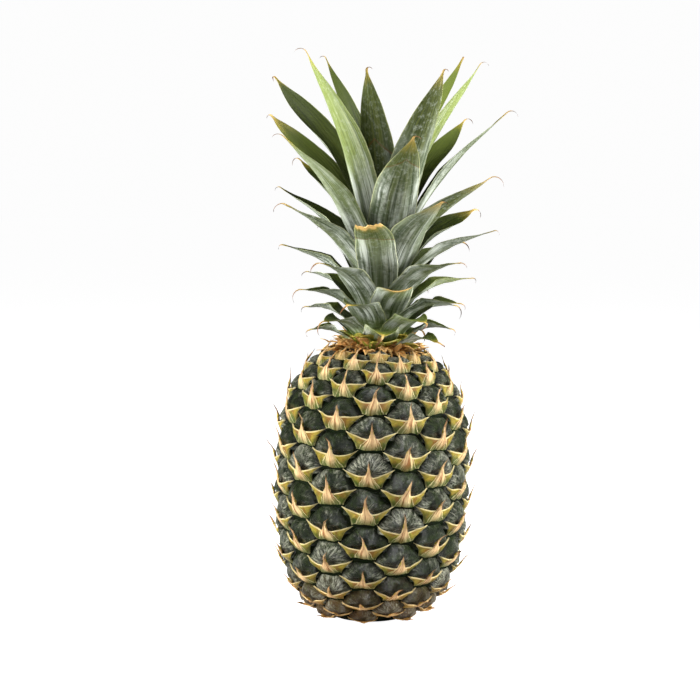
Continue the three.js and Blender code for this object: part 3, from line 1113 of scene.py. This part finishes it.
def bumped(g, shader, height, distance, strength=1.0):
    inputs = {"Strength": strength, "Distance": distance, "Height": height}
    normal = g.add("ShaderNodeBump", inputs)
    put(g.tree, shader.inputs["Normal"], normal)


# The barrel skin shows only in the grooves between the eyes, and its near-black tone is painted
# shade there over the skin's own dark green.
def groove_shade_material(colours):
    material, g, shader = new_material("groove_skin", 0.85, 0.05)
    coords = object_coordinates(g)
    tone = mottle(g, coords, 140.0, colours.groove_shade, colours.dome_dark)
    put(g.tree, shader.inputs["Base Color"], tone)
    bumped(g, shader, g.noise(coords, 700.0, 3), 0.4 * MM)
    return material


def dome_material(colours):
    """Near-black green skin with wrinkles and grey wax that run away from the spike's foot. Its
    troughs and rim carry painted shade, and the wax on the crests is partly a painted highlight.
    """
    material, g, shader = new_material("eye_dome", 0.34, 0.22)
    across, up, _ = g.parts(attribute(g, "cell", 1))
    eye = attribute(g, "eye")
    ring = attribute(g, "ring")
    coords = object_coordinates(g)
    angle = across.math("ARCTAN2", up * 1.5 + 0.12)
    reach = (across * across + up * up * 2.2).math("SQRT")
    streaks = g.noise(g.joined(angle * 4.4, reach * 0.9, eye * 31), 2.0, 4, 0.65, 0.5)
    wrinkles = g.noise(g.joined(angle * 8, reach * 1.6, eye * 17), 2.2, 3, 0.6, 0.9)
    skin = mottle(g, coords, 240.0, colours.dome_dark, colours.dome_light)
    # Painted shade: the wrinkles' troughs are darkened towards the deep green.
    skin = g.blend(g.step(wrinkles, 0.58, 0.42) * 0.85, skin, colours.dome_dark)

    # The wax: streaks along the wrinkles, partly real bloom and partly a painted highlight on their
    # crests, and fine flecks.
    wax = waxy_bloom(g, coords, 90.0, eye * 0.5 + 0.43)
    wax_and_highlight_streaks = g.step(streaks, 0.47, 0.62) * 0.55 + g.step(wrinkles, 0.5, 0.62) * 0.45
    wax = wax * (wax_and_highlight_streaks * 0.92 + 0.03) * g.step(reach, 0.15, 1.0, 0.35, 1.0)
    tone = g.blend(wax * 0.8, skin, colours.dome_wax_and_sheen)
    fleck = g.step(g.noise(coords, 1500.0, 2), 0.66, 0.74)
    tone = g.blend(fleck * 0.3, tone, colours.dome_wax_and_sheen)

    # The rim sinks in the grooves and is darkened there as painted shade, and the foot and the
    # lowest eyes are a little brown.
    rim = g.step(abs(across) * 0.47 + up * 0.42, 0.68, 0.98)
    # Painted shade: the rim takes the grooves' near-black colour.
    tone = g.blend(rim * 0.85, tone, colours.groove_shade)
    foot = g.step(up + wrinkles * 0.3, 0.42, 0.1) * g.step(abs(across), 1.3, 0.3)
    tone = g.blend(foot * g.step(wrinkles, 0.5, 0.65) * 0.3, tone, colours.tan)
    tone = g.blend(g.step(ring + streaks * 4, 7.0, 2.0) * 0.12, tone, colours.dry_orange)
    put(g.tree, shader.inputs["Base Color"], tone)
    put(g.tree, shader.inputs["Roughness"], g.step(wax, 0.0, 0.8, 0.3, 0.6))
    bumped(g, shader, wrinkles + streaks * 0.8 + g.noise(coords, 900.0, 2) * 0.12, 2.6 * MM)
    return material


def bract_material(colours):
    """Yellow-olive wings, a tan middle with pale ribs that fan out, and a green foot."""
    material, g, shader = new_material("eye_bract", 0.5, 0.18)
    across, up, _ = g.parts(attribute(g, "cell", 1))
    eye = attribute(g, "eye")
    ring = attribute(g, "ring")
    coords = object_coordinates(g)
    side = abs(across)
    fall = (0.12 - up).math("MAXIMUM", 0.0)
    uneven = g.noise(g.joined(across * 1.6, up * 1.6, eye * 23), 1.0, 3) - 0.5
    waver = g.noise(g.joined(across * 3.5, up * 3.5, eye * 37), 1.0, 2) - 0.5
    fan = side / (fall * 0.86 + 0.1) + waver * 0.5
    lines = fibre_lines(g, g.joined(across / (fall + 0.2), up, eye * 11), 7.5, 0.8)
    wing_place = g.joined(up * 1.6 - side * 0.5, across * 0.5, eye * 13)
    wing_lines = fibre_lines(g, wing_place, 7.0, 1.0)

    # The wings: olive, greener towards the foot, with brown stains near the middle.
    wing = g.blend(g.step(up + uneven * 1.3, 0.0, -0.7), colours.wing, colours.bract_green)
    wing = g.blend(g.step(waver, 0.0, 0.2) * 0.45, wing, colours.bract_green)
    wing = g.blend(wing_lines * 0.3, wing, colours.bract_green)
    stain = g.step(g.noise(g.joined(side * 2, up * 2.4, eye * 51), 1.1, 2), 0.42, 0.6)
    near_middle = g.step(side, 0.2, 0.45) * g.step(side, 1.5, 0.6)
    stain = stain * near_middle * g.step(up, -0.85, -0.35)
    wing = g.blend(stain * 0.8, wing, colours.bract_brown)

    # The middle: tan round the spike's foot, olive below, with pale and dark lines that fan out.
    root = (across * across * 2.4 + up * up * 0.8).math("SQRT")
    flesh = g.blend(lines * 0.55, colours.tan, colours.rib)
    flesh = g.blend(g.step(lines, 0.5, 0.1) * 0.85, flesh, colours.bract_brown)
    olive = g.blend(lines * 0.4, wing, colours.rib)
    olive = g.blend(g.step(lines, 0.45, 0.1) * 0.7, olive, colours.bract_green)
    middle = g.blend(g.step(root + uneven * 0.7, 1.1, 0.4), olive, flesh)
    middle = g.blend(g.step(up, 0.0, 0.2), middle, flesh)
    tone = g.blend(g.step(fan + uneven * 0.5, 1.1, 0.8), wing, middle)
    foot = g.step(up + uneven * 0.7, -0.35, -0.8)
    tone = g.blend(foot * 0.6, tone, colours.bract_green)

    # Two pairs of pale ribs, and a pale rim along the upper edge and the wings.
    first_rib = g.step(abs(fan - 1.0), 0.075, 0.02)
    second_rib = g.step(abs(fan - 0.5 + uneven * 0.3), 0.06, 0.02)
    shown = g.step(up, BRACT_FOOT, -0.5, 0.3, 1.0) * g.step(up, 0.3, 0.0)
    shown = shown * g.step(waver, -0.2, 0.1, 0.4, 1.0)
    ribs = ((first_rib + second_rib * 0.6) * shown).clamped()
    tone = g.blend(ribs * 0.75, tone, colours.rib)
    lip = LIP_TOP - (1 - (side / 2) ** LIP_CURVE) * LIP_DIP
    top_edge = g.step(up - lip, -0.1, -0.02) * g.step(side, 0.25, 0.5)
    wing_edge = g.step(side - up * 0.9, 1.6, 1.95)
    tone = g.blend((top_edge * 0.75 + wing_edge * 0.6).clamped(), tone, colours.rib)

    # The lowest eyes are orange, the highest are dry, and every spike ends brown.
    low_ring = g.step(ring + uneven * 3, 6.0, 1.0) * 0.55
    tone = g.blend(low_ring, tone, colours.dry_orange)
    high_ring = g.step(ring + uneven * 2, 17.5, 19.5) * 0.4
    tone = g.blend(high_ring, tone, colours.dry)
    tone = g.blend(g.step(up + waver * 0.5, 0.5, 0.95), tone, colours.dry_brown)
    put(g.tree, shader.inputs["Base Color"], tone)
    put(g.tree, shader.inputs["Roughness"], g.step(uneven, -0.2, 0.2, 0.4, 0.6))
    relief = lines * 0.5 + ribs * 0.9 + wing_lines * 0.25 + g.noise(coords, 600.0, 3) * 0.3
    bumped(g, shader, relief, 0.8 * MM)
    return material


def leaf_material(colours):
    """Silver wax with long lines outside, dark green inside, a light rim and a dry tip."""
    material, g, shader = new_material("leaf_skin", 0.45, 0.22)
    across, drawn, at_share = g.parts(attribute(g, "blade", 1))
    inner = attribute(g, "inner")
    seed = attribute(g, "seed")
    olive = attribute(g, "olive")
    fresh = attribute(g, "fresh")
    dry = attribute(g, "dry")
    imprint = attribute(g, "imprint")
    age = attribute(g, "age")
    lines = fibre_lines(g, g.joined(across, at_share, seed * 7), 8.0, 1.2)
    fine = fibre_lines(g, g.joined(across, at_share, seed * 13), 20.0, 2.6)
    fine = g.mix(g.step(at_share, 0.6, 0.92), fine, 0.5)
    broad = g.step(g.noise(g.joined(across * 2.4, at_share * 0.9, seed * 17), 1.3, 2), 0.38, 0.62)
    patch = g.noise(g.joined(across * 0.9, at_share * 3.2, seed * 29), 1.2, 4, 0.6) - 0.5
    scurf = g.noise(g.joined(across * 3, at_share * 26, seed * 5), 1.2, 4, 0.7)
    wax_place = g.joined(across * 0.5, at_share * 2.2, seed * 5)
    wax = waxy_bloom(g, wax_place, 2.2, 0.95 - olive * 0.4)

    # The outer side: silver below, olive or yellow-green above.
    silver = g.blend(broad, colours.leaf_grey, colours.bloom)
    silver = g.blend(g.step(lines, 0.45, 0.0) * 0.75, silver, colours.leaf_shade)
    green = g.blend(lines * 0.8, colours.leaf_shade, colours.leaf_grey)
    skin = g.blend(wax * g.step(at_share, 1.0, 0.4, 0.4, 0.95), green, silver)
    olive_skin = g.blend(lines, colours.leaf_dark, colours.leaf_olive)
    olive_skin = g.blend(g.step(scurf, 0.45, 0.7) * 0.6, olive_skin, colours.leaf_grey)
    lime_skin = g.blend(fine, colours.leaf_fresh, colours.leaf_lime)
    band = g.step(abs(across) + patch * 0.4, 0.6, 0.25)
    upper = g.step(at_share + patch * 0.5 + band * 0.32 + olive * 0.12, 0.62, 0.98)
    skin = g.blend(upper * (0.35 + olive * 0.65).clamped(), skin, olive_skin)
    skin = g.blend(g.step(at_share + patch * 0.8, 0.25, 0.6) * fresh, skin, lime_skin)
    skin = g.blend(g.step(scurf, 0.5, 0.75) * 0.3, skin, colours.bloom)
    skin = g.blend(g.step(fine, 0.35, 0.0) * 0.45, skin, colours.leaf_dark)

    # An older leaf's imprint: a thin brown outline, and olive skin above it.
    vee = at_share + abs(across) * 0.11 + patch * 0.03
    printed = imprint.math("GREATER_THAN", 0.01)
    above = g.step(vee, imprint - 0.008, imprint + 0.004) * printed
    skin = g.blend(above * 0.75, skin, olive_skin)
    outline = g.step(abs(vee - imprint), 0.01, 0.002) * printed
    skin = g.blend(outline * 0.5, skin, colours.dry_brown)

    # The inner side, the fresh foot, the rim and the dry tip.
    inside = g.blend(fine * 0.4, colours.leaf_dark, colours.leaf_olive)
    inside = g.blend(g.step(lines, 0.45, 0.0) * 0.6, inside, colours.dome_dark)
    inside = g.blend(fresh * 0.4, inside, lime_skin)
    tone = g.blend(inner, skin, inside)
    low_fresh = g.step(at_share, 0.3, 0.02) * g.step(age, 0.3, 0.0, 0.25, 0.95)
    tone = g.blend(low_fresh, tone, colours.leaf_fresh)
    rim = g.step(abs(across), 0.94, 0.995)
    tone = g.blend(rim * 0.4, tone, colours.leaf_edge)
    blotch = g.noise(g.joined(across * 1.4, at_share * 6, seed * 3), 1.4, 3) - 0.5
    reach = drawn + blotch * 0.1 + abs(across) * 0.02
    yellow = g.step(reach, 0.9 - dry * 1.3, 0.93 - dry * 0.4)
    tone = g.blend(yellow * 0.45, tone, colours.wing)
    brown = g.step(reach, 0.93 - dry * 0.7, 0.95)
    tone = g.blend(brown, tone, colours.dry)
    tone = g.blend(g.step(drawn + blotch * 0.06, 0.9, 0.96), tone, colours.dry_brown)
    torn = attribute(g, "torn")
    frayed = g.step(torn + blotch * 0.8, 0.35, 0.8)
    tone = g.blend(frayed, tone, colours.dry)
    put(g.tree, shader.inputs["Base Color"], tone)
    put(g.tree, shader.inputs["Roughness"], g.mix(inner, g.step(wax, 0.0, 1.0, 0.42, 0.56), 0.38))
    relief = (lines * 0.6 + fine * 0.3 + scurf * 0.3) * g.step(at_share, 0.95, 0.5)
    bumped(g, shader, relief, 0.5 * MM)
    return material


def fibre_material(name, colours, first, second, roughness=0.7):
    """Dry papery tissue with lines along it and brown stains."""
    material, g, shader = new_material(name, roughness, 0.35)
    across, up, _ = g.parts(attribute(g, "cell", 1))
    seed = attribute(g, "seed")
    coords = object_coordinates(g)
    lines = fibre_lines(g, g.joined(across, up, seed * 19), 7.0, 1.5)
    tone = g.blend(lines, first, second)
    tone = g.blend(g.step(seed, 0.6, 1.0) * 0.4, tone, colours.dry_brown)
    stained = mottle(g, coords, 190.0, tone, colours.dry_brown)
    tone = g.blend(0.2, tone, stained)
    tone = g.blend(g.step(up, 0.6, 1.0) * 0.6, tone, second)
    put(g.tree, shader.inputs["Base Color"], tone)
    bumped(g, shader, lines, 0.4 * MM)
    return material


def stalk_material(colours):
    """The cut stalk's end grain: a pale pith ringed with darker bundles."""
    material, g, shader = new_material("cut_stalk_grain", 0.8, 0.3)
    coords = object_coordinates(g)
    x, y, _ = g.parts(coords)
    reach = (x * x + y * y).math("SQRT")
    bundles = g.noise(coords, 900.0, 3, 0.7)
    tone = mottle(g, coords, 320.0, colours.stalk, colours.dry)
    tone = g.blend(g.step(bundles, 0.52, 0.66) * 0.6, tone, colours.dry_brown)
    tone = g.blend(g.step(reach, 9.5 * MM, 11.8 * MM) * 0.75, tone, colours.dry_brown)
    put(g.tree, shader.inputs["Base Color"], tone)
    bumped(g, shader, bundles, 0.8 * MM)
    return material


def stem_material(colours):
    """The pale green stem, darker and drier towards its foot."""
    material, g, shader = new_material("crown_stem_skin", 0.6, 0.4)
    coords = object_coordinates(g)
    _, _, z = g.parts(coords)
    tone = mottle(g, coords, 160.0, colours.stem, colours.leaf_fresh)
    tone = g.blend(g.step(z, 0.182, 0.172), tone, colours.dry_brown)
    put(g.tree, shader.inputs["Base Color"], tone)
    bumped(g, shader, g.noise(coords, 400.0, 3), 0.5 * MM)
    return material


# ---- Operators -------------------------------------------------------------------------------


class PINEAPPLE_OT_core(Operator):
    """Make the skin under the eyes, painted near-black for the shade in the grooves, from the
    hollow foot to the neck
    """

    bl_idname = "pineapple.core"
    bl_label = "Barrel skin"

    def execute(self, context):
        fruit = context.scene.pineapple_fruit
        points = [(0, 0, HOLLOW_DEPTH), (STALK_HOLLOW, 0, HOLLOW_DEPTH), (STALK_HOLLOW, 0, 0)]
        points += outline_points(fruit)
        points.append((0, 0, fruit.height))
        outline = profile_curve("barrel_outline", points)
        material = groove_shade_material(context.scene.pineapple_colours)
        core = grown("barrel_skin", groove_tree(), barrel_values(fruit, outline, material))
        finished(core, "rind", "fruit")
        return {"FINISHED"}


def make_eyes(context, name, shape, material, reach):
    """One part of every eye, grown over the barrel. The spikes sway by their reach."""
    fruit = context.scene.pineapple_fruit
    outline = profile_curve(name + "_outline", outline_points(fruit))
    values = {
        **barrel_values(fruit, outline, material),
        "Template": shape,
        "Wobble": context.scene.pineapple_eyes.wobble,
        "Spike Reach": reach,
        "Radius": fruit.radius,
        "Rings": fruit.rings,
        "Eyes Round": fruit.around,
        "First Turn": fruit.first_turn,
        "Ring Twist": fruit.ring_twist,
        "Seed": EYE_SEED,
    }
    return finished(grown(name, shared(EYE_TREE, eye_tree), values), "rind")


class PINEAPPLE_OT_domes(Operator):
    """Make the rounded top of every eye"""

    bl_idname = "pineapple.domes"
    bl_label = "Eye domes"

    def execute(self, context):
        scene = context.scene
        shape = dome_template(scene.pineapple_eyes)
        make_eyes(context, "eye_domes", shape, dome_material(scene.pineapple_colours), 0.0)
        return {"FINISHED"}


class PINEAPPLE_OT_bracts(Operator):
    """Make the winged bract and spike of every eye"""

    bl_idname = "pineapple.bracts"
    bl_label = "Eye bracts"

    def execute(self, context):
        scene = context.scene
        shape = bract_template(scene.pineapple_eyes)
        make_eyes(context, "eye_bracts", shape, bract_material(scene.pineapple_colours), 1.0)
        return {"FINISHED"}


def crown_frame(context):
    """Where the crown stands on the neck, and how far it leans."""
    fruit = context.scene.pineapple_fruit
    return (fruit.lean, 0, fruit.height), math.atan(2 * fruit.lean / fruit.height)


class PINEAPPLE_OT_leaves(Operator):
    """Make every leaf of the crown, each as a piece of its own"""

    bl_idname = "pineapple.leaves"
    bl_label = "Leaves"

    def execute(self, context):
        crown = context.scene.pineapple_crown
        tree = blade_tree()
        material = leaf_material(context.scene.pineapple_colours)
        place, tilt = crown_frame(context)
        for index in range(crown.leaves):
            leaf = leaf_rule(index, crown)
            foot, rise, droop, tip = midrib(leaf)
            broken = leaf["kept"] < 1
            values = {
                "Foot": foot,
                "Rise": rise,
                "Droop": droop,
                "Tip": tip,
                "Width": leaf["width"] * MM,
                "Kept": float(leaf["kept"]),
                "Twist": math.radians(leaf["twist"]),
                "Thickness": crown.thickness,
                "Tip Thickness": crown.tip_thickness,
                "Hook": 0.0 if broken else leaf["hook"] * MM,
                "Hook Turn": math.radians(leaf["hook_turn"]),
                "Ripple": crown.ripple,
                "Turn": math.radians(leaf["turn"] + leaf["aside"] - 90),
                "Crown Place": place,
                "Crown Tilt": tilt,
                "Seed": float(index),
                "Dry": float(leaf["dry"]),
                "Olive": float(leaf["olive"]),
                "Fresh": float(leaf["fresh"]),
                "Imprint": float(leaf["imprint"]),
                "Age": float(leaf["age"]),
                "Material": material,
            }
            number = str(index + 1).zfill(2)
            finished(grown("blade_" + number, tree, values), "leaf", "leaf_" + number)
        return {"FINISHED"}


class PINEAPPLE_OT_collar(Operator):
    """Make the papery scales, the loose fibres and the short leaves between fruit and crown"""

    bl_idname = "pineapple.collar"
    bl_label = "Collar"

    def execute(self, context):
        colours = context.scene.pineapple_colours
        collar = context.scene.pineapple_collar
        place, tilt = crown_frame(context)
        tree = whorl_tree()
        wide = scale_template("scale_template", 5, 7, 0.45, 2.2, 0.05)
        thin = scale_template("fibre_template", 3, 9, 0.7, 6, 0.02)
        orange = (colours.dry_orange, colours.dry)

        def whorl(name, slot, values):
            values.update({"Crown Place": place, "Crown Tilt": tilt})
            finished(grown(name, tree, values), slot)

        whorl("collar_scales", "dry_fibre", {
            "Template": wide,
            "Count": collar.scales,
            "Radius": collar.radius * 1.12,
            "Low": -4.5 * MM,
            "High": 3.5 * MM,
            "Shortest": collar.scale_length * 0.6,
            "Longest": collar.scale_length,
            "Width": 6.5 * MM,
            "Least Tilt": math.radians(-5),
            "Most Tilt": math.radians(100),
            "Crumple": 5 * MM,
            "Seed": 3,
            "Material": fibre_material("papery_scale", colours, *orange),
        })
        whorl("collar_fibres", "dry_fibre", {
            "Template": thin,
            "Count": collar.fibres,
            "Radius": collar.radius * 1.14,
            "Low": -3.5 * MM,
            "High": 3 * MM,
            "Shortest": 5 * MM,
            "Longest": 17 * MM,
            "Width": 0.9 * MM,
            "Least Tilt": math.radians(25),
            "Most Tilt": math.radians(112),
            "Crumple": 10 * MM,
            "Seed": 11,
            "Material": fibre_material("loose_fibre", colours, *orange),
        })
        green = (colours.leaf_fresh, colours.wing)
        whorl("collar_leaflets", "leaf", {
            "Template": wide,
            "Count": collar.leaflets,
            "Radius": collar.radius * 0.93,
            "Low": 0.0,
            "High": 7 * MM,
            "Shortest": 9 * MM,
            "Longest": 14 * MM,
            "Width": 15 * MM,
            "Least Tilt": math.radians(15),
            "Most Tilt": math.radians(50),
            "Crumple": 3 * MM,
            "Seed": 23,
            "Material": fibre_material("leaflet_skin", colours, *green, 0.5),
        })
        return {"FINISHED"}


class PINEAPPLE_OT_stalk(Operator):
    """Give the cut stalk and the crown's stem their grain"""

    bl_idname = "pineapple.stalk"
    bl_label = "Stalk and stem"

    def execute(self, context):
        colours = context.scene.pineapple_colours
        grains = {"cut_stalk": stalk_material(colours), "crown_stem": stem_material(colours)}
        for node, material in grains.items():
            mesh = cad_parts[node].data
            mesh.materials.clear()
            mesh.materials.append(material)
        return {"FINISHED"}


# Each soft light's width and height, and where it hangs.
LIGHTS = {
    "key": ((0.5, 0.9), (0.95, -0.05, 0.5)),
    "side": ((0.4, 0.9), (-0.95, -0.2, 0.45)),
    "fill": ((0.6, 0.6), (-0.25, -1.2, 0.9)),
    "top": ((0.6, 0.6), (0.1, 0.0, 1.2)),
}
LIGHT_AIM = (0, 0, 0.18)
CAMERA_AIM = (-12.6 * MM, 0, 168 * MM)
SENSOR_WIDTH = 36
FLOOR_REACH = 30
WHITE = (1, 1, 1, 1)

# The floor glows a little, and the world is white, only where they are looked at directly.
FLOOR_GLOW = 0.96
WORLD_LIGHT = 0.04
WORLD_SEEN = 0.98


class PINEAPPLE_OT_stage(Operator):
    """Set the floor, the soft lights and the camera"""

    bl_idname = "pineapple.stage"
    bl_label = "Stage"

    def execute(self, context):
        scene = context.scene
        stage = scene.pineapple_stage
        self.make_floor(scene, stage)
        self.make_world(scene)
        for name, (size, spot) in LIGHTS.items():
            self.make_light(scene, name + "_light", getattr(stage, name), size, spot)
        self.make_camera(scene, stage)
        scene.view_settings.view_transform = "Standard"
        return {"FINISHED"}

    def make_floor(self, scene, stage):
        mesh = bpy.data.meshes.new("floor")
        corners = ((-1, -1), (1, -1), (1, 1), (-1, 1))
        points = [(x * FLOOR_REACH, y * FLOOR_REACH, 0) for x, y in corners]
        mesh.from_pydata(points, [], [(0, 1, 2, 3)])
        floor = bpy.data.objects.new("floor", mesh)
        scene.collection.objects.link(floor)
        material, g, shader = new_material("pale_floor", 0.9, 0.1)
        put(g.tree, shader.inputs["Base Color"], stage.floor)
        shader.inputs["Emission Color"].default_value = WHITE
        seen = g.add("ShaderNodeLightPath")
        put(g.tree, shader.inputs["Emission Strength"], seen * FLOOR_GLOW)
        mesh.materials.append(material)

    def make_world(self, scene):
        world = bpy.data.worlds.new("studio")
        world.use_nodes = True
        scene.world = world
        g = Graph(world.node_tree)
        background = world.node_tree.nodes["Background"]
        background.inputs["Color"].default_value = WHITE
        seen = g.add("ShaderNodeLightPath")
        put(g.tree, background.inputs["Strength"], g.mix(seen, WORLD_LIGHT, WORLD_SEEN))

    def make_light(self, scene, name, watts, size, spot):
        data = bpy.data.lights.new(name, "AREA")
        data.shape = "RECTANGLE"
        data.size, data.size_y = size
        data.energy = watts
        light = bpy.data.objects.new(name, data)
        light.location = spot
        towards = Vector(LIGHT_AIM) - Vector(spot)
        light.rotation_euler = towards.to_track_quat("-Z", "Y").to_euler()
        scene.collection.objects.link(light)

    def make_camera(self, scene, stage):
        data = bpy.data.cameras.new("camera")
        data.lens = stage.focal
        data.sensor_width = SENSOR_WIDTH
        camera = bpy.data.objects.new("camera", data)
        rise = stage.elevation
        away = Vector((0, -math.cos(rise), math.sin(rise)))
        camera.location = Vector(CAMERA_AIM) + away * stage.distance
        camera.rotation_euler = (math.pi / 2 - rise, 0, 0)
        scene.collection.objects.link(camera)
        scene.camera = camera


class PINEAPPLE_PT_panel(Panel):
    """Lists the pieces of the pineapple"""

    bl_label = "Pineapple"
    bl_idname = "PINEAPPLE_PT_panel"
    bl_space_type = "VIEW_3D"
    bl_region_type = "UI"
    bl_category = "Pineapple"

    def draw(self, context):
        for operator in OPERATORS:
            self.layout.operator(operator.bl_idname)


SETTINGS = {
    "pineapple_fruit": FruitSizes,
    "pineapple_eyes": EyeSizes,
    "pineapple_crown": CrownSizes,
    "pineapple_collar": CollarSizes,
    "pineapple_colours": PineappleColours,
    "pineapple_stage": StageSettings,
}
OPERATORS = (
    PINEAPPLE_OT_core,
    PINEAPPLE_OT_domes,
    PINEAPPLE_OT_bracts,
    PINEAPPLE_OT_leaves,
    PINEAPPLE_OT_collar,
    PINEAPPLE_OT_stalk,
    PINEAPPLE_OT_stage,
)


def register():
    for cls in (*SETTINGS.values(), *OPERATORS, PINEAPPLE_PT_panel):
        bpy.utils.register_class(cls)
    for name, cls in SETTINGS.items():
        setattr(bpy.types.Scene, name, PointerProperty(type=cls))


def unregister():
    for name in SETTINGS:
        delattr(bpy.types.Scene, name)
    for cls in (PINEAPPLE_PT_panel, *reversed(OPERATORS), *reversed(list(SETTINGS.values()))):
        bpy.utils.unregister_class(cls)


def main():
    register()
    bpy.ops.pineapple.core()
    bpy.ops.pineapple.domes()
    bpy.ops.pineapple.bracts()
    bpy.ops.pineapple.leaves()
    bpy.ops.pineapple.collar()
    bpy.ops.pineapple.stalk()
    bpy.ops.pineapple.stage()


if __name__ == "__main__":
    main()
